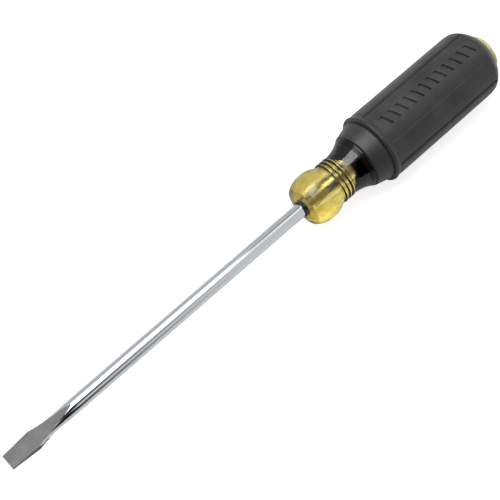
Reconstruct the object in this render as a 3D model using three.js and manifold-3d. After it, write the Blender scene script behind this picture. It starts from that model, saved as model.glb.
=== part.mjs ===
// A slotted screwdriver: a round-shank steel blade with a keystone tip, moulded into a clear plastic handle
// core with a ball nose and grip rings, under a grooved rubber sleeve.
// Millimetres. The tool's axis is +X: the tip's end face is at X = 0 and the butt is at X = OVERALL_LENGTH.
// The two ground flats of the tip face +Z and -Z.
import * as THREE from "three";
import { mergeVertices } from "three/addons/utils/BufferGeometryUtils.js";
import Module from "manifold-3d";

const wasm = await Module();
wasm.setup();

// Driving dimensions
const OVERALL_LENGTH = 263.5;
const EXPOSED_LENGTH = 152.4; // blade and shank in front of the handle
const SHANK_RADIUS = 3.175;
const HANDLE_RADIUS = 15.8;
const BARREL_RADIUS = 11.4; // handle core under the rubber
const FIT_GAP = 0.3; // between neighbouring pieces

// Keystone tip
const TIP_WIDTH = 6.6;
const TIP_THICKNESS = 1.1;
const FLARE_WIDTH = 7.55;
const FLARE_AT = 12.3; // widest place, from the tip
const FLARE_EASE = 3.5; // from the widest place to where the sides have turned towards the shank
const FLARE_END = 27; // where the forged flare has run out into the round shank
const FLAT_LENGTH = 31; // the ground flats end in a point on the shank
const FORGED_RADIUS = 4.1; // the round of the forging behind the tip, before it is ground
const FORGED_LENGTH = 12.5;
const FORGED_STATIONS = 4; // steps in which that round thins down to the shank

// Tang, inside the handle
const TANG_LENGTH = 62;
const TANG_CHAMFER = 0.8;
const WING_START = 34; // from the front of the handle
const WING_LENGTH = 15;
const WING_SLOPE = 3;
const WING_SPAN = 10;
const WING_ROOT = 1; // how deep the wings reach into the bar
const WING_THICKNESS = 2.2;

// Ball nose of the core
const BALL_RADIUS = 11.25;
const BALL_LAND = 1.2; // short straight stretch at the ball's widest place
const NOSE_FACE_RADIUS = 4.6; // small flat face round the mouth of the bore
const NOSE_RADIUS = 9; // where the nose's cone meets the ball
const NOSE_LENGTH = 1.5;

// Grip rings and neck of the core
const RING_COUNT = 3;
const RING_PITCH = 1.97;
const FIRST_RING = EXPOSED_LENGTH + 17.5;
const RING_BEAD_RADIUS = 0.8;
const RING_CREST_RADIUS = 9.8;
const RING_VALLEY_RADIUS = 9;
const NECK_START = 21.2; // narrowest place, from the front of the handle
const NECK_RING_END = 1.2; // the last ring covers the neck's curve up to here
const NECK_END = 32.1;
const NECK_CURVE_RADIUS = 21.5;
const NECK_RADIUS = 9.2;

// Butt of the core
const BUTT_RADIUS = 8.85;
const BUTT_LENGTH = 5;
const BUTT_EDGE_RADIUS = 0.7;
const MARK_LENGTH = 9; // engraved bar that shows the tip's shape
const MARK_WIDTH = 1.6;
const MARK_DEPTH = 0.5;

// Rubber sleeve
const SLEEVE_START = EXPOSED_LENGTH + NECK_END + FIT_GAP;
const COLLAR_EDGE_RADIUS = 12.5;
const COLLAR_CHAMFER = 0.35;
const COLLAR_LENGTH = 7.3;
const COLLAR_END_RADIUS = 14.55;
const UNDERCUT_WIDTH = 0.6; // narrow channel between the collar and the lip
const UNDERCUT_RADIUS = 13.2;
const LIP_FACE_RADIUS = 15.5;
const LIP_EDGE_RADIUS = 0.85;
const LIP_LENGTH = 2.8;
const BODY_END = 254.2; // where the rounding of the butt starts
const CORNER_RADIUS = 3.5;
const DOME_RADIUS = 13.8;
const CORNER_ANGLE = 58; // the corner arc turns into the dome arc at this angle from the axis
const DOME_ANGLE = 24;
const GROOVE_SIDE = 0.95;
const GROOVE_END = 256.4;
const PANEL_ANGLE = 105; // each of the two wide panels, between its grooves
const PANEL_TURN = 23.3; // the middle of the first wide panel, from +Z towards -Y

const SEGMENTS = 40;
const ARC_STEPS = 6;
const FINE_ARC_STEPS = 8;
const COARSE_ARC_STEPS = 4;
const FLARE_STEPS = 12;
const BLANK_THICKNESS = 3 * FORGED_RADIUS; // of the slabs that trim the tip; well clear of the bar
const CUTTER_OVERRUN = 1; // how far the bore cutter starts in front of the handle

// Geometry helpers

// Points of an arc in [x, radius] pairs; angles are in degrees from the +X direction.
function arc(centreX, centreR, radius, fromAngle, toAngle, steps = ARC_STEPS) {
  return Array.from({ length: steps + 1 }, (_, i) => {
    const angle = THREE.MathUtils.degToRad(fromAngle + ((toAngle - fromAngle) * i) / steps);
    return [centreX + radius * Math.cos(angle), centreR + radius * Math.sin(angle)];
  });
}

// A body of revolution about the X axis, from [x, radius] pairs that start and end on the axis.
function revolve(profile) {
  const points = profile.map(([x, r]) => new THREE.Vector2(r, x));
  return new THREE.LatheGeometry(points, SEGMENTS).rotateZ(-Math.PI / 2);
}

// A closed outline of [x, y] pairs as a slab centred on Z = 0.
function slab(outline, thickness) {
  const shape = new THREE.Shape(outline.map(([x, y]) => new THREE.Vector2(x, y)));
  const geometry = new THREE.ExtrudeGeometry(shape, { depth: thickness, bevelEnabled: false });
  return geometry.translate(0, 0, -thickness / 2);
}

function toSolid(geometry) {
  const bare = geometry.clone();
  bare.deleteAttribute("normal");
  bare.deleteAttribute("uv");
  const merged = mergeVertices(bare, 1e-4);
  const vertProperties = new Float32Array(merged.attributes.position.array);
  const triVerts = new Uint32Array(merged.index.array);
  return new wasm.Manifold(new wasm.Mesh({ numProp: 3, vertProperties, triVerts }));
}

function toGeometry(solid) {
  const mesh = solid.getMesh();
  const geometry = new THREE.BufferGeometry();
  geometry.setAttribute("position", new THREE.BufferAttribute(mesh.vertProperties, 3));
  geometry.setIndex(new THREE.BufferAttribute(mesh.triVerts, 1));
  geometry.computeVertexNormals();
  return geometry;
}

// Blade: one steel bar with the keystone tip, the round shank and the winged tang

// Half the width of the forged tip: straight sides to the widest place, then a smooth run-out to the shank.
function tipOutline(length) {
  const side = [[0, TIP_WIDTH / 2]];
  const runOut = new THREE.CubicBezierCurve(
    new THREE.Vector2(FLARE_AT, FLARE_WIDTH / 2),
    new THREE.Vector2(FLARE_AT + FLARE_EASE, FLARE_WIDTH / 2),
    new THREE.Vector2(FLARE_AT + FLARE_EASE, SHANK_RADIUS),
    new THREE.Vector2(FLARE_END, SHANK_RADIUS),
  );
  for (const point of runOut.getPoints(FLARE_STEPS)) {
    side.push([point.x, point.y]);
  }
  side.push([length, SHANK_RADIUS]);
  const otherSide = side.map(([x, y]) => [x, -y]).reverse();
  return [...side, ...otherSide];
}

// Side view of the blade: a wedge between the two ground flats, then the full height of the shank.
function flatsOutline(length) {
  const upper = [[0, TIP_THICKNESS / 2], [FLAT_LENGTH, SHANK_RADIUS], [length, SHANK_RADIUS]];
  const lower = upper.map(([x, z]) => [x, -z]).reverse();
  return [...upper, ...lower];
}

// Radius of the forging behind the tip, which thins down quickly at first and then ever more slowly.
function forgedProfile() {
  const points = [[0, FORGED_RADIUS]];
  for (let i = 0; i <= FORGED_STATIONS; i++) {
    const share = i / FORGED_STATIONS;
    const x = THREE.MathUtils.lerp(FORGED_LENGTH, FLARE_END, share);
    points.push([x, SHANK_RADIUS + (FORGED_RADIUS - SHANK_RADIUS) * (1 - share) ** 3]);
  }
  return points;
}

function wingOutline(margin) {
  const start = EXPOSED_LENGTH + WING_START - margin;
  const end = EXPOSED_LENGTH + WING_START + WING_LENGTH + margin;
  const span = WING_SPAN / 2 + margin;
  const root = SHANK_RADIUS - WING_ROOT;
  const upper = [[start, root], [start + WING_SLOPE, span], [end - WING_SLOPE, span], [end, root]];
  const lower = upper.map(([x, y]) => [x, -y]).reverse();
  return [...upper, ...lower];
}

function bladeGeometry() {
  const length = EXPOSED_LENGTH + TANG_LENGTH;
  const roundBar = toSolid(revolve([
    [0, 0],
    ...forgedProfile(),
    [length - TANG_CHAMFER, SHANK_RADIUS],
    [length, SHANK_RADIUS - TANG_CHAMFER],
    [length, 0],
  ]));
  const keystone = toSolid(slab(tipOutline(length), BLANK_THICKNESS));
  const flats = toSolid(slab(flatsOutline(length), BLANK_THICKNESS).rotateX(Math.PI / 2));
  const wings = toSolid(slab(wingOutline(0), WING_THICKNESS));
  return toGeometry(roundBar.intersect(keystone).intersect(flats).add(wings));
}

// Handle core: clear plastic, from the ball nose to the butt disc

function ballProfile() {
  const noseX = Math.sqrt(BALL_RADIUS ** 2 - NOSE_RADIUS ** 2);
  const centre = EXPOSED_LENGTH + NOSE_LENGTH + noseX;
  const noseAngle = 180 - THREE.MathUtils.radToDeg(Math.asin(NOSE_RADIUS / BALL_RADIUS));
  const rearAngle = THREE.MathUtils.radToDeg(Math.asin(RING_VALLEY_RADIUS / BALL_RADIUS));
  return [
    [EXPOSED_LENGTH, 0],
    [EXPOSED_LENGTH, NOSE_FACE_RADIUS],
    ...arc(centre, 0, BALL_RADIUS, noseAngle, 90, FINE_ARC_STEPS),
    ...arc(centre + BALL_LAND, 0, BALL_RADIUS, 90, rearAngle),
  ];
}

function ringProfile() {
  const beadCentre = RING_CREST_RADIUS - RING_BEAD_RADIUS;
  const footAngle = THREE.MathUtils.radToDeg(Math.asin((RING_VALLEY_RADIUS - beadCentre) / RING_BEAD_RADIUS));
  const points = [];
  for (let i = 0; i < RING_COUNT; i++) {
    const x = FIRST_RING + i * RING_PITCH;
    points.push(...arc(x, beadCentre, RING_BEAD_RADIUS, 180 - footAngle, footAngle));
  }
  return points;
}

function neckProfile() {
  const x = EXPOSED_LENGTH + NECK_START;
  const flareAngle = THREE.MathUtils.radToDeg(Math.asin((NECK_END - NECK_START) / NECK_CURVE_RADIUS));
  const startAngle = THREE.MathUtils.radToDeg(Math.asin(NECK_RING_END / NECK_CURVE_RADIUS));
  return arc(x, NECK_RADIUS + NECK_CURVE_RADIUS, NECK_CURVE_RADIUS, -90 + startAngle, -90 + flareAngle);
}

function coreGeometry() {
  const shoulder = EXPOSED_LENGTH + NECK_END;
  const barrelEnd = OVERALL_LENGTH - BUTT_LENGTH;
  const edgeX = OVERALL_LENGTH - BUTT_EDGE_RADIUS;
  const edgeR = BUTT_RADIUS - BUTT_EDGE_RADIUS;
  const outside = toSolid(revolve([
    ...ballProfile(),
    ...ringProfile(),
    ...neckProfile(),
    [shoulder, BARREL_RADIUS],
    [barrelEnd, BARREL_RADIUS],
    [barrelEnd, BUTT_RADIUS],
    ...arc(edgeX, edgeR, BUTT_EDGE_RADIUS, 90, 0, COARSE_ARC_STEPS),
    [OVERALL_LENGTH, 0],
  ]));
  const boreRadius = SHANK_RADIUS + FIT_GAP;
  const boreEnd = EXPOSED_LENGTH + TANG_LENGTH + FIT_GAP;
  const bore = toSolid(revolve([
    [EXPOSED_LENGTH - CUTTER_OVERRUN, 0],
    [EXPOSED_LENGTH - CUTTER_OVERRUN, boreRadius],
    [boreEnd, boreRadius],
    [boreEnd, 0],
  ]));
  const wingSlot = toSolid(slab(wingOutline(FIT_GAP), WING_THICKNESS + 2 * FIT_GAP));
  const mark = new THREE.BoxGeometry(2 * MARK_DEPTH, MARK_LENGTH, MARK_WIDTH).translate(OVERALL_LENGTH, 0, 0);
  return toGeometry(outside.subtract(bore.add(wingSlot)).subtract(toSolid(mark)));
}

// Cushion grip: the rubber sleeve with its collar, lip, grooved body and rounded butt

function sleeveProfile() {
  const collarEnd = SLEEVE_START + COLLAR_LENGTH;
  const lipStart = collarEnd + UNDERCUT_WIDTH;
  const lipEnd = lipStart + LIP_LENGTH;
  const innerRadius = BARREL_RADIUS + FIT_GAP;
  const openingRadius = BUTT_RADIUS + FIT_GAP;
  const openingStart = OVERALL_LENGTH - BUTT_LENGTH + FIT_GAP;
  const cornerCentre = HANDLE_RADIUS - CORNER_RADIUS;
  const turn = THREE.MathUtils.degToRad(CORNER_ANGLE);
  const domeX = BODY_END + (CORNER_RADIUS - DOME_RADIUS) * Math.cos(turn);
  const domeR = cornerCentre + (CORNER_RADIUS - DOME_RADIUS) * Math.sin(turn);
  const dome = arc(domeX, domeR, DOME_RADIUS, CORNER_ANGLE, DOME_ANGLE);
  const rubberEnd = dome.at(-1)[0];
  return [
    [SLEEVE_START, innerRadius],
    [SLEEVE_START, COLLAR_EDGE_RADIUS],
    [SLEEVE_START + COLLAR_CHAMFER, COLLAR_EDGE_RADIUS + COLLAR_CHAMFER],
    [collarEnd, COLLAR_END_RADIUS],
    [collarEnd, UNDERCUT_RADIUS],
    [lipStart, UNDERCUT_RADIUS],
    ...arc(lipStart + LIP_EDGE_RADIUS, LIP_FACE_RADIUS, LIP_EDGE_RADIUS, 180, 90, COARSE_ARC_STEPS),
    [lipEnd, HANDLE_RADIUS],
    ...arc(BODY_END, cornerCentre, CORNER_RADIUS, 90, CORNER_ANGLE, COARSE_ARC_STEPS),
    ...dome.slice(1),
    [rubberEnd, openingRadius],
    [openingStart, openingRadius],
    [openingStart, innerRadius],
    [SLEEVE_START, innerRadius],
  ];
}

// A V-shaped cutter along the body, at an angle from +Z towards -Y.
function grooveCutter(angle) {
  const start = SLEEVE_START + COLLAR_LENGTH + UNDERCUT_WIDTH + LIP_LENGTH;
  const length = GROOVE_END - start;
  const cutter = new THREE.BoxGeometry(length, GROOVE_SIDE, GROOVE_SIDE);
  cutter.rotateX(Math.PI / 4);
  cutter.translate(start + length / 2, 0, HANDLE_RADIUS);
  return toSolid(cutter.rotateX(THREE.MathUtils.degToRad(angle)));
}

function gripGeometry() {
  let sleeve = toSolid(revolve(sleeveProfile()));
  for (const middle of [PANEL_TURN, PANEL_TURN + 180]) {
    for (const side of [-PANEL_ANGLE / 2, PANEL_ANGLE / 2]) {
      sleeve = sleeve.subtract(grooveCutter(middle + side));
    }
  }
  return toGeometry(sleeve);
}

// Assembly

function piece(name, geometry, color, roughness, metalness) {
  const material = new THREE.MeshStandardMaterial({ color, roughness, metalness });
  const mesh = new THREE.Mesh(geometry, material);
  mesh.name = name;
  return mesh;
}

const screwdriver = new THREE.Group();
screwdriver.add(
  piece("blade", bladeGeometry(), 0xc9ccd0, 0.15, 1),
  piece("handle_core", coreGeometry(), 0xd8c03a, 0.1, 0),
  piece("cushion_grip", gripGeometry(), 0x2e2e30, 0.7, 0),
);

export default screwdriver;
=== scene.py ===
"""Looks for a slotted screwdriver: a plated and ground blade, a clear yellow core and a cushion grip.

Shapes are worked out in millimetres and written to the meshes in metres. The tool's axis is +X, with
the tip's end at X = 0. Angles about the axis are in degrees, from +Z (up) towards -Y, which is the side
that faces the camera.
"""

import math

import bmesh
import bpy
from mathutils import Matrix, Vector
from mathutils.geometry import interpolate_bezier


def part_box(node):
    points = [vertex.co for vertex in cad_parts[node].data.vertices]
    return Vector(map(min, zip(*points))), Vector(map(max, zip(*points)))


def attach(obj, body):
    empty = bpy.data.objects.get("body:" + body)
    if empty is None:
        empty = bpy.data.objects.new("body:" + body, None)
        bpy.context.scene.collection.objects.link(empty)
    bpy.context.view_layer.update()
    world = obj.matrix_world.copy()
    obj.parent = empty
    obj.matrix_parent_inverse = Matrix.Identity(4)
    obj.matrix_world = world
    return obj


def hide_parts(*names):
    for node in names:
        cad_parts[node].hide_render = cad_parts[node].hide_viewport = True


MM = 0.001
HALF_TURN = 180

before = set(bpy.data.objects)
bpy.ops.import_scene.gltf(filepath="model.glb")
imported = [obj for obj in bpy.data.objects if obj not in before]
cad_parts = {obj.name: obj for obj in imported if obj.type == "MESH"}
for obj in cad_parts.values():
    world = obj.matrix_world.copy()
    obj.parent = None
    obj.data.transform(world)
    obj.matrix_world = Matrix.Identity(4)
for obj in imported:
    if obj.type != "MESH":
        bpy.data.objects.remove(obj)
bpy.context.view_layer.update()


# Places and sizes that come from the frame


def box_in_mm(node):
    low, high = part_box(node)
    return low / MM, high / MM


blade_low, blade_high = box_in_mm("blade")
core_low, core_high = box_in_mm("handle_core")
grip_low, grip_high = box_in_mm("cushion_grip")

SHANK_R = blade_high.z
WING_SPAN = blade_high.y
TANG_END = blade_high.x
HANDLE_FRONT = core_low.x
HANDLE_END = core_high.x
SHOULDER_R = core_high.z
GRIP_FRONT = grip_low.x
LIP_R = grip_high.z
FIT_GAP = 0.3


# Mesh helpers


def arc(centre_x, centre_r, radius, start, end, steps=12):
    """Points (x, r) of an arc; the angles are in degrees from +X."""
    points = []
    for i in range(steps + 1):
        angle = math.radians(start + (end - start) * i / steps)
        points.append((centre_x + radius * math.cos(angle), centre_r + radius * math.sin(angle)))
    return points


def straight(start, end, step):
    """Points (x, r) from start to end, no further apart than step, without the end itself."""
    length = math.dist(start, end)
    count = max(1, math.ceil(length / step))
    return [tuple(Vector(start).lerp(Vector(end), i / count)) for i in range(count)]


def smooth(value):
    """0 below 0, 1 above 1, and an easy curve between."""
    value = min(1.0, max(0.0, value))
    return value * value * (3 - 2 * value)


def polar(x, radius, angle):
    """The point at a radius and an angle about the tool's axis."""
    turn = math.radians(angle)
    return (x, -radius * math.sin(turn), radius * math.cos(turn))


def skin(name, rows, closed=False):
    """A piece from rows of points in mm, each row a ring; closed joins the last row to the first."""
    mesh = bmesh.new()
    rings = [[mesh.verts.new(Vector(point) * MM) for point in row] for row in rows]
    pairs = list(zip(rings, rings[1:]))
    if closed:
        pairs.append((rings[-1], rings[0]))
    for ring, following in pairs:
        for i, vertex in enumerate(ring):
            j = (i + 1) % len(ring)
            mesh.faces.new((vertex, ring[j], following[j], following[i]))
    bmesh.ops.remove_doubles(mesh, verts=mesh.verts, dist=0.002 * MM)
    bmesh.ops.recalc_face_normals(mesh, faces=mesh.faces)
    return to_object(name, mesh)


def to_object(name, mesh):
    data = bpy.data.meshes.new(name)
    mesh.to_mesh(data)
    mesh.free()
    piece = bpy.data.objects.new(name, data)
    bpy.context.scene.collection.objects.link(piece)
    return piece


def revolve(name, profile, segments=128, closed=False):
    """A body of revolution from (x, r) points in mm."""
    angles = [360 * i / segments for i in range(segments)]
    return skin(name, [[polar(x, r, angle) for angle in angles] for x, r in profile], closed)


def plate(name, outline, thickness):
    """A flat plate from an outline of (x, y) points, centred on Z = 0."""
    rows = [[(x, y, z) for x, y in outline] for z in (-thickness / 2, thickness / 2)]
    mesh = bmesh.new()
    lower, upper = [[mesh.verts.new(Vector(point) * MM) for point in row] for row in rows]
    mesh.faces.new(lower)
    mesh.faces.new(upper)
    for i in range(len(outline)):
        j = (i + 1) % len(outline)
        mesh.faces.new((lower[i], lower[j], upper[j], upper[i]))
    bmesh.ops.recalc_face_normals(mesh, faces=mesh.faces)
    return to_object(name, mesh)


def combine(piece, tool, operation):
    """Joins tool to piece, or cuts it out of piece, and removes tool."""
    modifier = piece.modifiers.new("combine", "BOOLEAN")
    modifier.operation = operation
    modifier.object = tool
    modifier.solver = "EXACT"
    apply_modifiers(piece)
    bpy.data.objects.remove(tool)


def apply_modifiers(piece):
    evaluated = piece.evaluated_get(bpy.context.evaluated_depsgraph_get())
    finished = bpy.data.meshes.new_from_object(evaluated)
    piece.modifiers.clear()
    piece.data = finished


def shade(piece, crease=35):
    """Smooth shading, with edges sharper than crease degrees left crisp."""
    piece.data.shade_smooth()
    piece.data.set_sharp_from_angle(angle=math.radians(crease))


def install(piece, node, slot, *materials):
    """Puts a finished piece on the frame in place of a CAD node."""
    for material in materials:
        piece.data.materials.append(material)
    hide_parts(node)
    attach(piece, "root")


# Material helpers


def new_material(name):
    material = bpy.data.materials.new(name)
    material.use_nodes = True
    return material, material.node_tree, material.node_tree.nodes["Principled BSDF"]


def add_node(tree, kind, inputs=None, **settings):
    """A node with its settings, and its inputs set to values or linked to other sockets."""
    node = tree.nodes.new(kind)
    for key, value in settings.items():
        setattr(node, key, value)
    for key, value in (inputs or {}).items():
        if isinstance(value, bpy.types.NodeSocket):
            tree.links.new(value, node.inputs[key])
        else:
            node.inputs[key].default_value = value
    return node


def object_point(tree, stretch=(1, 1, 1)):
    """Object coordinates, in metres, scaled by stretch."""
    place = add_node(tree, "ShaderNodeTexCoord").outputs["Object"]
    return add_node(tree, "ShaderNodeMapping", {"Vector": place, "Scale": stretch}).outputs["Vector"]


def noise(tree, grain, point=None, detail=3.0):
    """Noise whose grains are about the given size in mm."""
    point = point or object_point(tree)
    inputs = {"Vector": point, "Scale": 1 / (grain * MM), "Detail": detail}
    return add_node(tree, "ShaderNodeTexNoise", inputs).outputs["Fac"]


def calculate(tree, operation, first, second):
    return add_node(tree, "ShaderNodeMath", {0: first, 1: second}, operation=operation).outputs[0]


# Two places in metres, far before anything in the scene: a range that starts at both has no near edge
FAR_BEFORE = (-9, -8)


def between(tree, value, start, full, still_full, end):
    """1 from full to still_full, easing to 0 at start and end."""
    rise = {"Value": value, "From Min": start, "From Max": full}
    fall = {"Value": value, "From Min": end, "From Max": still_full}
    sides = [add_node(tree, "ShaderNodeMapRange", side).outputs["Result"] for side in (rise, fall)]
    return calculate(tree, "MULTIPLY", *sides)


def spread(tree, value, low, high):
    """The middle of a noise's range, stretched to go from low to high."""
    inputs = {"Value": value, "From Min": 0.3, "From Max": 0.7, "To Min": low, "To Max": high}
    return add_node(tree, "ShaderNodeMapRange", inputs).outputs["Result"]


def bump(tree, height, depth, strength=1.0):
    """A normal from a height of 0 to 1 that stands for depth mm."""
    inputs = {"Height": height, "Distance": depth * MM, "Strength": strength}
    return add_node(tree, "ShaderNodeBump", inputs).outputs["Normal"]


def blend_colours(tree, factor, first, second):
    inputs = {0: factor, 6: (*first, 1), 7: (*second, 1)}
    return add_node(tree, "ShaderNodeMix", inputs, data_type="RGBA").outputs[2]


# Blade: keystone tip, round shank and winged tang in one steel bar

TIP_WIDTH = 6.6
TIP_THICKNESS = 1.1
FLARE_WIDTH = 7.55
FLARE_AT = 12.3
FLARE_EASE = 3.5
FLARE_END = 27
FLAT_LENGTH = 31
FORGED_R = 4.1
FORGED_END = 12.5
WAIST_AT = 20
WAIST_END = 34
WAIST_DEPTH = 0.17
TANG_CHAMFER = 0.8
WING_START = HANDLE_FRONT + 34
WING_LENGTH = 15
WING_SLOPE = 3
WING_THICKNESS = 2.2
WING_OVERLAP = 1

# How finely the blade's mesh is divided: steps in mm along it, and counts of points round a quarter of it
TIP_STEP = 1
FINE_STEP = 0.4
SHANK_STEP = 12
RUN_OUT_POINTS = 28
FLAT_POINTS = 4
CORNER_POINTS = 20
SIDE_POINTS = 3


def tip_half_widths():
    """Pairs (x, half width): straight to the widest place, then an easy run-out to the round shank."""
    shoulder = (FLARE_AT, FLARE_WIDTH / 2)
    turn_x = FLARE_AT + FLARE_EASE
    ease_out = (turn_x, FLARE_WIDTH / 2, 0)
    ease_in = (turn_x, SHANK_R, 0)
    run_out_end = (FLARE_END, SHANK_R, 0)
    run_out = interpolate_bezier((*shoulder, 0), ease_out, ease_in, run_out_end, RUN_OUT_POINTS)
    stations = straight((0, TIP_WIDTH / 2), shoulder, TIP_STEP)
    stations += [(point.x, point.y) for point in run_out]
    stations += straight((FLARE_END + FINE_STEP, SHANK_R), (FLAT_LENGTH, SHANK_R), FINE_STEP)
    return stations


def bar_section(x, half_width, half_height, radius):
    """A circle of the given radius, cut at half_width on its sides and half_height above and below."""
    flat_end = min(half_width, math.sqrt(max(0, radius**2 - half_height**2)))
    side_end = min(half_height, math.sqrt(max(0, radius**2 - half_width**2)))
    start = math.atan2(half_height, flat_end)
    end = math.atan2(side_end, half_width)
    corner = math.hypot(flat_end, half_height)
    quarter = [(flat_end * i / FLAT_POINTS, half_height) for i in range(FLAT_POINTS)]
    for i in range(CORNER_POINTS + 1):
        angle = start + (end - start) * i / CORNER_POINTS
        quarter.append((corner * math.cos(angle), corner * math.sin(angle)))
    quarter += [(half_width, side_end * (1 - i / SIDE_POINTS)) for i in range(1, SIDE_POINTS + 1)]
    half = quarter + [(y, -z) for y, z in reversed(quarter[:-1])]
    ring = half + [(-y, z) for y, z in reversed(half[1:-1])]
    return [(x, y, z) for y, z in ring]


def flat_height(x):
    """Height of the ground flats above the axis."""
    return TIP_THICKNESS / 2 + (SHANK_R - TIP_THICKNESS / 2) * x / FLAT_LENGTH


def bar_radius(x):
    """Radius of the round before grinding: full at the tip, down to a faint waist, then the shank."""
    run_out = min(1, max(0, (x - FORGED_END) / (FLARE_END - FORGED_END)))
    waist_in = smooth((x - FORGED_END) / (WAIST_AT - FORGED_END))
    waist_out = smooth((WAIST_END - x) / (WAIST_END - WAIST_AT))
    return SHANK_R + (FORGED_R - SHANK_R) * (1 - run_out) ** 3 - WAIST_DEPTH * waist_in * waist_out


def bar_rows():
    rows = [[(0, 0, 0)] * len(bar_section(0, 1, 1, 1))]
    for x, half_width in tip_half_widths():
        half_height = flat_height(x)
        rows.append(bar_section(x, half_width, half_height, bar_radius(x)))
    chamfer_start = TANG_END - TANG_CHAMFER
    waist_end = straight((FLAT_LENGTH, 0), (WAIST_END, 0), FINE_STEP)
    shank = straight((WAIST_END, 0), (chamfer_start, 0), SHANK_STEP)
    for x in [x for x, _ in waist_end + shank] + [chamfer_start]:
        rows.append(bar_section(x, bar_radius(x), bar_radius(x), bar_radius(x)))
    end_r = SHANK_R - TANG_CHAMFER
    rows.append(bar_section(TANG_END, end_r, end_r, end_r))
    rows.append([(TANG_END, 0, 0)] * len(rows[0]))
    return rows


def wing_outline(margin=0):
    start = WING_START - margin
    end = WING_START + WING_LENGTH + margin
    span = WING_SPAN + margin
    root = SHANK_R - WING_OVERLAP
    upper = [(start, root), (start + WING_SLOPE, span), (end - WING_SLOPE, span), (end, root)]
    return upper + [(x, -y) for x, y in reversed(upper)]


def chrome_plate():
    """Bright plating with faint polishing lines round the bar."""
    material, tree, shader = new_material("chrome_plate")
    lines = noise(tree, 1, object_point(tree, (9, 0.6, 0.6)), 4)
    clouds = noise(tree, 14)
    shader.inputs["Metallic"].default_value = 1
    colour = blend_colours(tree, clouds, (0.74, 0.77, 0.80), (0.80, 0.82, 0.84))
    tree.links.new(colour, shader.inputs["Base Color"])
    tree.links.new(spread(tree, lines, 0.015, 0.035), shader.inputs["Roughness"])
    tree.links.new(bump(tree, lines, 0.0006), shader.inputs["Normal"])
    return material


def ground_steel():
    """The tip's ground flats: matte grey with fine grinding marks across the blade."""
    material, tree, shader = new_material("ground_steel")
    marks = noise(tree, 1, object_point(tree, (8, 0.5, 2)), 5)
    patches = noise(tree, 5)
    shader.inputs["Metallic"].default_value = 1
    colour = blend_colours(tree, patches, (0.060, 0.061, 0.061), (0.108, 0.108, 0.107))
    tree.links.new(colour, shader.inputs["Base Color"])
    tree.links.new(spread(tree, marks, 0.42, 0.58), shader.inputs["Roughness"])
    tree.links.new(bump(tree, marks, 0.02), shader.inputs["Normal"])
    return material


def forged_steel():
    """The tip's narrow sides: darker, as forged."""
    material, tree, shader = new_material("forged_steel")
    scale = noise(tree, 0.5)
    shader.inputs["Metallic"].default_value = 1
    colour = blend_colours(tree, scale, (0.10, 0.10, 0.105), (0.19, 0.19, 0.19))
    tree.links.new(colour, shader.inputs["Base Color"])
    tree.links.new(spread(tree, scale, 0.4, 0.6), shader.inputs["Roughness"])
    tree.links.new(bump(tree, scale, 0.02), shader.inputs["Normal"])
    return material


def tang_steel():
    """The bar inside the handle: bare drawn steel, duller than the plating."""
    material, tree, shader = new_material("tang_steel")
    draw_marks = noise(tree, 1, object_point(tree, (0.3, 4, 4)), 4)
    shader.inputs["Metallic"].default_value = 1
    colour = blend_colours(tree, draw_marks, (0.42, 0.42, 0.42), (0.60, 0.60, 0.60))
    tree.links.new(colour, shader.inputs["Base Color"])
    tree.links.new(spread(tree, draw_marks, 0.22, 0.34), shader.inputs["Roughness"])
    return material


PLATED, GROUND, FORGED, DRAWN = range(4)
FLAT_TOLERANCE = 0.02
END_FACING = 0.9
SIDE_FACING = 0.97
FORGED_SIDE_END = FLARE_AT + 4.5
TANG_PAINT_START = HANDLE_FRONT + 0.5


def paint_blade(piece):
    """Gives the flats and the end the ground finish, the tip's sides the forged one, the tang its own."""
    for face in piece.data.polygons:
        x = face.center.x / MM
        below_flat = flat_height(x) - abs(face.center.z) / MM
        if x > TANG_PAINT_START:
            face.material_index = DRAWN
        elif x > FLAT_LENGTH:
            continue
        elif below_flat < FLAT_TOLERANCE or abs(face.normal.x) > END_FACING:
            face.material_index = GROUND
        elif abs(face.normal.y) > SIDE_FACING and x < FORGED_SIDE_END:
            face.material_index = FORGED


def build_blade():
    blade = skin("steel_blade", bar_rows())
    combine(blade, plate("wings", wing_outline(), WING_THICKNESS), "UNION")
    finishes = [chrome_plate(), ground_steel(), forged_steel(), tang_steel()]
    install(blade, "blade", "blade_steel", *finishes)
    paint_blade(blade)
    shade(blade, 25)


# Core: clear yellow plastic from the ball nose to the butt disc

BALL_R = 11.25
BALL_LAND = 1.2
NOSE_FACE_R = 4.6
NOSE_R = 9
NOSE_LENGTH = 1.5
NOSE_EDGE_LENGTH = 0.15
NOSE_EDGE_RISE = 0.3
MOUTH_CHAMFER = 0.25
RING_COUNT = 3
RING_PITCH = 1.97
FIRST_RING = HANDLE_FRONT + 17.5
RING_BEAD_R = 0.8
RING_CREST_R = 9.8
RING_VALLEY_R = 9
NECK_START = HANDLE_FRONT + 21.2
NECK_RING_END = 1.2
NECK_END = GRIP_FRONT - FIT_GAP
NECK_CURVE_R = 21.5
NECK_LAND = 0.45
# Lengths of painted shade: the last of the neck before the sleeve and the bore's mouth are painted near
# black
PAINTED_SHADE_NECK = 2.4
PAINTED_SHADE_MOUTH = 3
BARREL_R = 11.4
BUTT_R = 8.85
BUTT_LENGTH = 5
BUTT_EDGE_R = 0.7
MARK_LENGTH = 9
MARK_WIDTH = 1.6
MARK_DEPTH = 0.5


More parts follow.
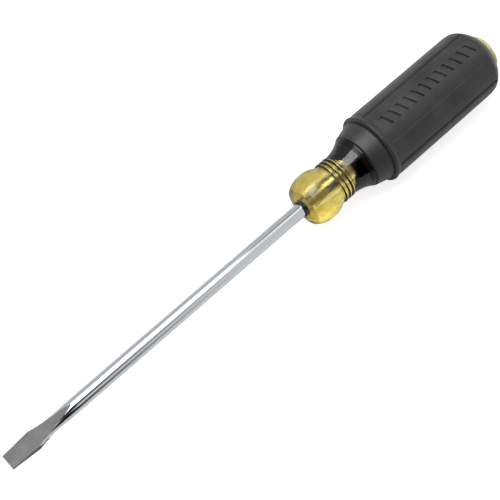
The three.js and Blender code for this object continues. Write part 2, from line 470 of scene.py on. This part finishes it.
def ball_profile():
    nose_x = math.sqrt(BALL_R**2 - NOSE_R**2)
    centre = HANDLE_FRONT + NOSE_LENGTH + nose_x
    nose_angle = HALF_TURN - math.degrees(math.asin(NOSE_R / BALL_R))
    rear_angle = math.degrees(math.asin(RING_VALLEY_R / BALL_R))
    front = arc(centre, 0, BALL_R, nose_angle, 90, 24)
    rear = arc(centre + BALL_LAND, 0, BALL_R, 90, rear_angle, 16)
    cone_start = (HANDLE_FRONT + NOSE_EDGE_LENGTH, NOSE_FACE_R + NOSE_EDGE_RISE)
    cone = straight(cone_start, front[0], 1.2)
    return [(HANDLE_FRONT, NOSE_FACE_R), *cone, *front, *rear]


def ring_profile():
    bead_centre = RING_CREST_R - RING_BEAD_R
    foot = math.degrees(math.asin((RING_VALLEY_R - bead_centre) / RING_BEAD_R))
    points = []
    for i in range(RING_COUNT):
        x = FIRST_RING + i * RING_PITCH
        points += arc(x, bead_centre, RING_BEAD_R, HALF_TURN - foot, foot, 14)
    return points


def neck_profile():
    reach = math.degrees(math.asin((NECK_END - NECK_LAND - NECK_START) / NECK_CURVE_R))
    centre_r = SHOULDER_R + NECK_CURVE_R * math.cos(math.radians(reach))
    start = math.degrees(math.asin(NECK_RING_END / NECK_CURVE_R))
    flare = arc(NECK_START, centre_r, NECK_CURVE_R, -90 + start, -90 + reach, 18)
    return [*flare, (NECK_END, SHOULDER_R)]


def core_profile():
    bore_r = SHANK_R + FIT_GAP
    bore_end = TANG_END + FIT_GAP
    barrel_end = HANDLE_END - BUTT_LENGTH
    edge_x = HANDLE_END - BUTT_EDGE_R
    return [
        (bore_end, 0),
        (bore_end, bore_r),
        (HANDLE_FRONT + PAINTED_SHADE_MOUTH, bore_r),
        (HANDLE_FRONT + MOUTH_CHAMFER, bore_r),
        (HANDLE_FRONT, bore_r + MOUTH_CHAMFER),
        *ball_profile(),
        *ring_profile(),
        *neck_profile(),
        (NECK_END, BARREL_R),
        (barrel_end, BARREL_R),
        (barrel_end, BUTT_R),
        *arc(edge_x, BUTT_R - BUTT_EDGE_R, BUTT_EDGE_R, 90, 0, 8),
        (HANDLE_END, 0),
    ]


def mark_cutter():
    """A round-ended bar that cuts the tip mark into the butt."""
    half = (MARK_LENGTH - MARK_WIDTH) / 2
    end = [(half + y, z) for y, z in arc(0, 0, MARK_WIDTH / 2, 90, -90, 10)]
    outline = end + [(-y, -z) for y, z in end]
    cutter = plate("mark", outline, 2 * MARK_DEPTH)
    upright = Matrix(((0, 0, 1), (1, 0, 0), (0, 1, 0))).to_4x4()
    cutter.data.transform(Matrix.Translation((HANDLE_END * MM, 0, 0)) @ upright)
    return cutter


# How much of the ball's unevenness the neck keeps
WAVES_ON_NECK = 0.12


def clear_yellow_plastic():
    """Cellulose acetate: clear yellow that deepens with thickness, with a faintly uneven polished skin."""
    material, tree, shader = new_material("clear_yellow_plastic")
    streaks = noise(tree, 1.5, object_point(tree, (0.3, 1, 1)), 3)
    along = add_node(tree, "ShaderNodeSeparateXYZ", {"Vector": object_point(tree)}).outputs["X"]
    before_neck = between(tree, along, *FAR_BEFORE, FIRST_RING * MM, NECK_START * MM)
    on_ball = spread(tree, before_neck, WAVES_ON_NECK, 1)
    waves = calculate(tree, "MULTIPLY", streaks, on_ball)
    tint = blend_colours(tree, spread(tree, streaks, 0, 1), (0.66, 0.55, 0.32), (1.0, 1.0, 0.95))
    tree.links.new(tint, shader.inputs["Base Color"])
    shader.inputs["Transmission Weight"].default_value = 1
    shader.inputs["IOR"].default_value = 1.48
    tree.links.new(spread(tree, noise(tree, 3), 0.01, 0.05), shader.inputs["Roughness"])
    tree.links.new(bump(tree, waves, 0.22), shader.inputs["Normal"])
    depth = {"Color": (0.90, 0.82, 0.08, 1), "Density": 88}
    absorption = add_node(tree, "ShaderNodeVolumeAbsorption", depth)
    output = tree.nodes["Material Output"]
    tree.links.new(absorption.outputs["Volume"], output.inputs["Volume"])
    return material


def sleeve_and_painted_shade_plastic():
    """Near black. Under the sleeve it stands for the black rubber seen through the plastic; on the last of
    the neck before the sleeve and in the bore's mouth it is painted shade.
    """
    material, tree, shader = new_material("sleeve_and_painted_shade_plastic")
    streaks = spread(tree, noise(tree, 4, object_point(tree, (0.4, 1, 1))), 0, 1)
    # Near black colour: the sleeve seen through the plastic, and painted shade where it lies outside the
    # sleeve
    colour = blend_colours(tree, streaks, (0.002, 0.002, 0.002), (0.006, 0.006, 0.004))
    tree.links.new(colour, shader.inputs["Base Color"])
    shader.inputs["Roughness"].default_value = 0.15
    shader.inputs["Specular IOR Level"].default_value = 0.25
    return material


def butt_plastic(clear):
    """The end disc: the clear plastic with its skin scuffed, so that it is partly opaque."""
    material = clear.copy()
    material.name = "butt_plastic"
    tree = material.node_tree
    shader = tree.nodes["Principled BSDF"]
    scuffs = noise(tree, 1.5)
    colour = blend_colours(tree, scuffs, (0.55, 0.46, 0.13), (0.96, 0.90, 0.34))
    tree.links.new(colour, shader.inputs["Base Color"])
    tree.links.new(spread(tree, scuffs, 0.10, 0.22), shader.inputs["Roughness"])
    shader.inputs["Transmission Weight"].default_value = 0.35
    return material


def nose_plastic(clear):
    """The flat cone at the nose: the clear plastic, faintly frosted."""
    material = clear.copy()
    material.name = "nose_plastic"
    shader = material.node_tree.nodes["Principled BSDF"]
    for name, value in (("Roughness", 0.22), ("Base Color", (1, 1, 1, 1))):
        material.node_tree.links.remove(shader.inputs[name].links[0])
        shader.inputs[name].default_value = value
    return material


CLEAR, SLEEVE_OR_PAINTED_SHADE, BUTT, NOSE = range(4)
END_TOLERANCE = 0.05
BORE_TOLERANCE = 0.01


def paint_core(piece):
    """Paints near black the barrel under the sleeve, as the black rubber seen through the plastic, and
    paints shade on the neck just before the sleeve and in the bore's mouth. Nose and disc get their own.
    """
    barrel_end = HANDLE_END - BUTT_LENGTH
    bore_r = SHANK_R + FIT_GAP
    for face in piece.data.polygons:
        x = face.center.x / MM
        radius = math.hypot(face.center.y, face.center.z) / MM
        # Near black on the barrel under the sleeve, for the rubber seen through; painted shade on the neck
        # just before it
        if NECK_END - PAINTED_SHADE_NECK < x < barrel_end + END_TOLERANCE and radius > BUTT_R:
            face.material_index = SLEEVE_OR_PAINTED_SHADE
        elif x > barrel_end:
            face.material_index = BUTT
        # Painted shade in the gap at the bore's mouth
        elif x < HANDLE_FRONT + PAINTED_SHADE_MOUTH and radius < bore_r + BORE_TOLERANCE:
            face.material_index = SLEEVE_OR_PAINTED_SHADE
        elif x < HANDLE_FRONT + NOSE_LENGTH:
            face.material_index = NOSE


def build_core():
    core = revolve("clear_core", core_profile())
    wing_slot = plate("wing_slot", wing_outline(FIT_GAP), WING_THICKNESS + 2 * FIT_GAP)
    combine(core, wing_slot, "DIFFERENCE")
    combine(core, mark_cutter(), "DIFFERENCE")
    clear = clear_yellow_plastic()
    finishes = [clear, sleeve_and_painted_shade_plastic(), butt_plastic(clear), nose_plastic(clear)]
    install(core, "handle_core", "clear_yellow_plastic", *finishes)
    paint_core(core)
    shade(core, 40)


# Grip: black rubber sleeve with a collar, a lip, a grooved body and a rounded butt

HANDLE_R = 15.8
COLLAR_EDGE_R = 12.5
COLLAR_CHAMFER = 0.35
COLLAR_LENGTH = 7.3
COLLAR_END_R = 14.55
UNDERCUT_WIDTH = 0.6
UNDERCUT_R = 13.2
LIP_FACE_R = 15.5
LIP_EDGE_R = LIP_R - LIP_FACE_R
LIP_START = GRIP_FRONT + COLLAR_LENGTH + UNDERCUT_WIDTH
LIP_LENGTH = 2.8
BODY_START = LIP_START + LIP_LENGTH
BODY_END = HANDLE_END - 9.3
CORNER_R = 3.5
CORNER_ANGLE = 58
DOME_R = 13.8
DOME_ANGLE = 24
GROOVE_END = BODY_END + 2.2
GROOVE_HALF_WIDTH = 0.8
GROOVE_DEPTH = 1.0
GROOVE_LEAD = 0.4
GROOVE_RUN_IN = 1.2
GROOVE_RUN_OUT = 2.5
GROOVE_SHOULDER = 1.25
PANEL_TURN = 23.3
WIDE_PANEL = 105
PANEL_RISE = 0.22
PANEL_RUN_IN = 1.5
PANEL_STEP = 0.6
STEP_ANGLE = 35.6
STEP_RISE = 0.14
STEP_HALF_ANGLE = 1.2
CREASE_ANGLE = 58.5
CREASE_RISE = 0.05
CREASE_HALF_ANGLE = 1.5
RIDGE_RUN_IN = 2
RIDGE_RUN_OUT = 3
RELIEF_LEAD = 0.5
RELIEF_MARGIN = 1.5
RELIEF_FADE = 4
EVEN_STEP = 1.5


def grip_profile():
    collar_end = GRIP_FRONT + COLLAR_LENGTH
    corner_centre = HANDLE_R - CORNER_R
    turn = math.radians(CORNER_ANGLE)
    dome_x = BODY_END + (CORNER_R - DOME_R) * math.cos(turn)
    dome_r = corner_centre + (CORNER_R - DOME_R) * math.sin(turn)
    dome = arc(dome_x, dome_r, DOME_R, CORNER_ANGLE, DOME_ANGLE, 20)
    inner_r = BARREL_R + FIT_GAP
    opening_r = BUTT_R + FIT_GAP
    opening_x = HANDLE_END - BUTT_LENGTH + FIT_GAP
    return [
        (GRIP_FRONT, inner_r),
        *arc(GRIP_FRONT + COLLAR_CHAMFER, COLLAR_EDGE_R, COLLAR_CHAMFER, 180, 105, 5),
        *straight((GRIP_FRONT + 0.6, COLLAR_EDGE_R + 0.42), (collar_end - 0.3, COLLAR_END_R), 0.5),
        (collar_end - 0.15, COLLAR_END_R),
        (collar_end, COLLAR_END_R - 0.15),
        (collar_end, UNDERCUT_R),
        (LIP_START, UNDERCUT_R),
        *arc(LIP_START + LIP_EDGE_R, LIP_FACE_R, LIP_EDGE_R, 180, 78, 10),
        *straight((LIP_START + LIP_EDGE_R + 0.9, HANDLE_R + 0.12), (BODY_START, HANDLE_R), 0.4),
        *straight((BODY_START, HANDLE_R), (BODY_END, HANDLE_R), 0.35),
        *arc(BODY_END, corner_centre, CORNER_R, 90, CORNER_ANGLE, 8),
        *dome[1:],
        (dome[-1][0], opening_r),
        (opening_x, opening_r),
        (opening_x, inner_r),
    ]


def groove_angles():
    angles = []
    for middle in (PANEL_TURN, PANEL_TURN + HALF_TURN):
        angles += [middle - WIDE_PANEL / 2, middle + WIDE_PANEL / 2]
    return angles


def turn_between(angle, other):
    """The signed turn from other to angle, from -180 to 180."""
    return (angle - other + HALF_TURN) % 360 - HALF_TURN


def fan(middle, step, count):
    """Angles a step apart, with count of them on each side of middle."""
    return [middle + step * i for i in range(-count, count + 1)]


def around_grip():
    """Angles round the sleeve: even steps, with finer ones where grooves, ridges and marks need them."""
    even = [EVEN_STEP * i for i in range(round(360 / EVEN_STEP))]
    fine = fan(MARK_TURN, 0.5, 26)
    for groove in groove_angles():
        fine += fan(groove, 0.33, 10)
    for line in (STEP_ANGLE, CREASE_ANGLE):
        for middle in (line, line + HALF_TURN):
            fine += fan(middle, 0.3, 4)
    fine = sorted({round(angle % 360, 3) for angle in fine})
    kept = [angle for angle in even if all(abs(turn_between(angle, other)) > 0.3 for other in fine)]
    return sorted(kept + fine)


# A row of plain slanted bars, moulded into the wide panel
MARK_COUNT = 12
MARK_PITCH = 4.6
MARK_START = BODY_START + 5
MARK_TURN = 2
MARK_BAR_LENGTH = 5.2
MARK_BAR_WIDTH = 1.25
MARK_BAR_DEPTH = 0.8
MARK_SLANT = 0.35
MARK_EDGE = 0.3


def mark_depth(x, angle):
    """How deep the moulded bars are at a place on the sleeve."""
    across = math.radians(turn_between(angle, MARK_TURN)) * HANDLE_R
    along = x - MARK_START - MARK_SLANT * across
    index = round(along / MARK_PITCH)
    if not 0 <= index < MARK_COUNT:
        return 0
    beside = abs(along - index * MARK_PITCH) - MARK_BAR_WIDTH / 2
    beyond = abs(across) - MARK_BAR_LENGTH / 2
    return MARK_BAR_DEPTH * smooth(0.5 - max(beside, beyond) / MARK_EDGE)


def groove_depth(x, angle):
    """A V-shaped groove, deep along the body and running out at both ends."""
    run_in = smooth((x - BODY_START + GROOVE_LEAD) / GROOVE_RUN_IN)
    run_out = smooth((GROOVE_END - x) / GROOVE_RUN_OUT)
    nearest = min(abs(turn_between(angle, groove)) for groove in groove_angles())
    aside = math.radians(nearest) * HANDLE_R / GROOVE_HALF_WIDTH
    return GROOVE_DEPTH * (run_in * run_out) * smooth(GROOVE_SHOULDER - aside)


def panel_rise(x, angle):
    """The narrow panels stand a little above the wide ones, up to a small step near the butt."""
    middles = (PANEL_TURN, PANEL_TURN + HALF_TURN)
    aside = min(abs(turn_between(angle, middle)) for middle in middles)
    if aside <= WIDE_PANEL / 2:
        return 0
    run_in = smooth((x - BODY_START) / PANEL_RUN_IN)
    return PANEL_RISE * run_in * smooth((BODY_END - PANEL_STEP - x) / PANEL_STEP)


def step_rise(x, angle):
    """A fine parting ridge and a softer one along the wide panels."""
    on_body = smooth((x - BODY_START) / RIDGE_RUN_IN) * smooth((BODY_END - x) / RIDGE_RUN_OUT)
    rise = 0
    for turn in (0, HALF_TURN):
        past_step = turn_between(angle, STEP_ANGLE + turn)
        past_crease = turn_between(angle, CREASE_ANGLE + turn)
        rise += STEP_RISE * smooth(1 - abs(past_step) / STEP_HALF_ANGLE)
        rise += CREASE_RISE * smooth(1 - abs(past_crease) / CREASE_HALF_ANGLE)
    return rise * on_body


def grip_radius(x, radius, angle):
    """The sleeve's radius with its relief: none on the collar and the lip, and fading out over the butt."""
    if radius < UNDERCUT_R or x < BODY_START - RELIEF_LEAD:
        fade = smooth((radius - BUTT_R - RELIEF_MARGIN) / RELIEF_FADE) if x > BODY_END else 0
    else:
        fade = 1
    if not fade:
        return radius
    relief = panel_rise(x, angle) + step_rise(x, angle) - groove_depth(x, angle) - mark_depth(x, angle)
    return radius + fade * relief


def grip_rows():
    angles = around_grip()
    return [[polar(x, grip_radius(x, r, angle), angle) for angle in angles] for x, r in grip_profile()]


def black_rubber():
    """Moulded rubber: charcoal, matte, with a fine skin and faint cloudiness."""
    material, tree, shader = new_material("black_rubber")
    grain = noise(tree, 0.35, detail=4)
    pores = noise(tree, 1.6)
    clouds = noise(tree, 9)
    colour = blend_colours(tree, spread(tree, clouds, 0, 1), (0.019, 0.019, 0.020), (0.034, 0.034, 0.035))
    tree.links.new(colour, shader.inputs["Base Color"])
    tree.links.new(spread(tree, pores, 0.36, 0.46), shader.inputs["Roughness"])
    skin_height = calculate(tree, "ADD", grain, pores)
    tree.links.new(bump(tree, skin_height, 0.09), shader.inputs["Normal"])
    shader.inputs["IOR"].default_value = 1.43
    shader.inputs["Sheen Weight"].default_value = 0.12
    shader.inputs["Sheen Roughness"].default_value = 0.4
    return material


def build_grip():
    grip = skin("rubber_grip", grip_rows(), closed=True)
    install(grip, "cushion_grip", "black_rubber", black_rubber())
    shade(grip, 40)


# Studio: pale floor, a soft surrounding light and the camera

# How much the floor glows by itself, and how much is added to the camera, directly or through the plastic
FLOOR_GLOW = 0.1
GLOW_TO_CAMERA = 0.7
GLOW_THROUGH_PLASTIC = 0.42
# The shaded corner of the floor, in metres: along Y and along X, each as (start, full, still full, end)
SHADE_ASIDE = (FAR_BEFORE[0], -0.11, -0.11, -0.04)
SHADE_ALONG = (*FAR_BEFORE, 0.04, 0.16)
PALE_FLOOR = (0.45, 0.45, 0.45)
SHADED_FLOOR = (0.03, 0.03, 0.03)


def white_floor():
    """Pale floor with only a trace of shadow. In reflections its far -Y corner lies in shade."""
    material, tree, shader = new_material("white_floor")
    path = add_node(tree, "ShaderNodeLightPath").outputs
    axes = add_node(tree, "ShaderNodeSeparateXYZ", {"Vector": object_point(tree)}).outputs
    aside = between(tree, axes["Y"], *SHADE_ASIDE)
    along = between(tree, axes["X"], *SHADE_ALONG)
    corner = calculate(tree, "MULTIPLY", aside, along)
    shaded = calculate(tree, "MULTIPLY", corner, path["Is Glossy Ray"])
    tree.links.new(blend_colours(tree, shaded, PALE_FLOOR, SHADED_FLOOR), shader.inputs["Base Color"])
    shader.inputs["Roughness"].default_value = 0.9
    shader.inputs["Emission Color"].default_value = (1, 1, 1, 1)
    through_plastic = calculate(tree, "MULTIPLY", path["Is Transmission Ray"], GLOW_THROUGH_PLASTIC)
    to_camera = calculate(tree, "MULTIPLY", path["Is Camera Ray"], GLOW_TO_CAMERA)
    glow = calculate(tree, "ADD", through_plastic, to_camera)
    tree.links.new(calculate(tree, "ADD", glow, FLOOR_GLOW), shader.inputs["Emission Strength"])
    return material


# The floor's radius, in lengths of the tool
FLOOR_LENGTHS = 6
FLOOR_SEGMENTS = 64


def build_floor():
    radius = FLOOR_LENGTHS * (HANDLE_END - blade_low.x)
    middle = (HANDLE_END + blade_low.x) / 2
    lowest = min(blade_low.z, core_low.z, grip_low.z)
    turns = [math.tau * i / FLOOR_SEGMENTS for i in range(FLOOR_SEGMENTS)]
    edge = [(middle + radius * math.cos(turn), radius * math.sin(turn), lowest) for turn in turns]
    floor = skin("floor", [edge, [(middle, 0, lowest)] * FLOOR_SEGMENTS])
    floor.data.materials.append(white_floor())


# The soft light that comes from all round, and the lamps (+) and dark cards (-) that stand in it. Each is
# a rectangle: its turn about the tool's axis in degrees from +Z towards -Y, and its lean towards the
# butt, from -1 to 1, both as (start, full, still full, end), then how much it adds.
SOFT_LIGHT = 0.65
EVERY_LEAN = (-3, -2, 2, 3)
STUDIO = {
    "window": ((-35, -30, 5, 10), (-0.5, -0.4, 0.15, 0.27), 6),
    "window_frame": ((-40, -30, -25, -15), (0.2, 0.3, 2, 3), -0.5),
    "far_window": ((-20, -5, 5, 20), (0.2, 0.3, 2, 3), 0.4),
    "upper_shade": ((-110, -80, -65, -50), EVERY_LEAN, -0.15),
    "near_card": ((15, 25, 35, 45), (-3, -2, 0.05, 0.25), -0.65),
    "low_card": ((60, 75, 90, 120), (-3, -2, 0.05, 0.25), -0.65),
    "card_behind_tip": ((10, 25, 180, 190), (-3, -2, 0, 0.05), -0.65),
}


def build_world():
    world = bpy.data.worlds.new("studio")
    world.use_nodes = True
    bpy.context.scene.world = world
    tree = world.node_tree
    background = tree.nodes["Background"]
    direction = add_node(tree, "ShaderNodeTexCoord").outputs["Generated"]
    axes = add_node(tree, "ShaderNodeSeparateXYZ", {"Vector": direction}).outputs
    near_side = calculate(tree, "MULTIPLY", axes["Y"], -1.0)
    angle = calculate(tree, "ARCTAN2", near_side, axes["Z"])
    level = SOFT_LIGHT
    for turn, lean, amount in STUDIO.values():
        around = between(tree, angle, *[math.radians(edge) for edge in turn])
        along = between(tree, axes["X"], *lean)
        share = calculate(tree, "MULTIPLY", around, along)
        level = calculate(tree, "ADD", level, calculate(tree, "MULTIPLY", share, amount))
    level = calculate(tree, "MAXIMUM", level, 0.0)
    seen = add_node(tree, "ShaderNodeLightPath").outputs["Is Camera Ray"]
    shown = add_node(tree, "ShaderNodeMix", {0: seen, 2: level, 3: 1.0}, data_type="FLOAT").outputs[0]
    tree.links.new(shown, background.inputs["Strength"])
    background.inputs["Color"].default_value = (1, 1, 1, 1)


# The camera looks down on the tool from the tip's end, turned a little to the -Y side
CAMERA_LEAN = 15.49
CAMERA_ROLL = 20
CAMERA_DISTANCE = 424.2
PICTURE_TURN = 40.81
SENSOR = 36
LENS = 75.6
AIM_ALONG = 0.4729
AIM_ASIDE = 1.11


def build_camera():
    roll = math.radians(CAMERA_ROLL)
    lean = math.radians(CAMERA_LEAN)
    turn = math.radians(PICTURE_TURN)
    axis = Vector((1, 0, 0))
    towards = Vector((0, -math.sin(roll), math.cos(roll)))
    forward = axis * math.sin(lean) - towards * math.cos(lean)
    along = axis * math.cos(lean) + towards * math.sin(lean)
    across = -Vector((0, math.cos(roll), math.sin(roll)))
    right = along * math.cos(turn) + across * math.sin(turn)
    up = along * math.sin(turn) - across * math.cos(turn)
    aim = axis * (AIM_ALONG * HANDLE_END) - across * AIM_ASIDE
    place = (aim - forward * CAMERA_DISTANCE) * MM
    data = bpy.data.cameras.new("camera")
    data.sensor_width = SENSOR
    data.lens = LENS
    data.clip_start = 0.01
    camera = bpy.data.objects.new("camera", data)
    facing = Matrix((right, up, -forward)).transposed().to_4x4()
    camera.matrix_world = Matrix.Translation(place) @ facing
    bpy.context.scene.collection.objects.link(camera)
    bpy.context.scene.camera = camera


build_blade()
build_core()
build_grip()
build_floor()
build_world()
build_camera()
bpy.context.scene.view_settings.view_transform = "Standard"
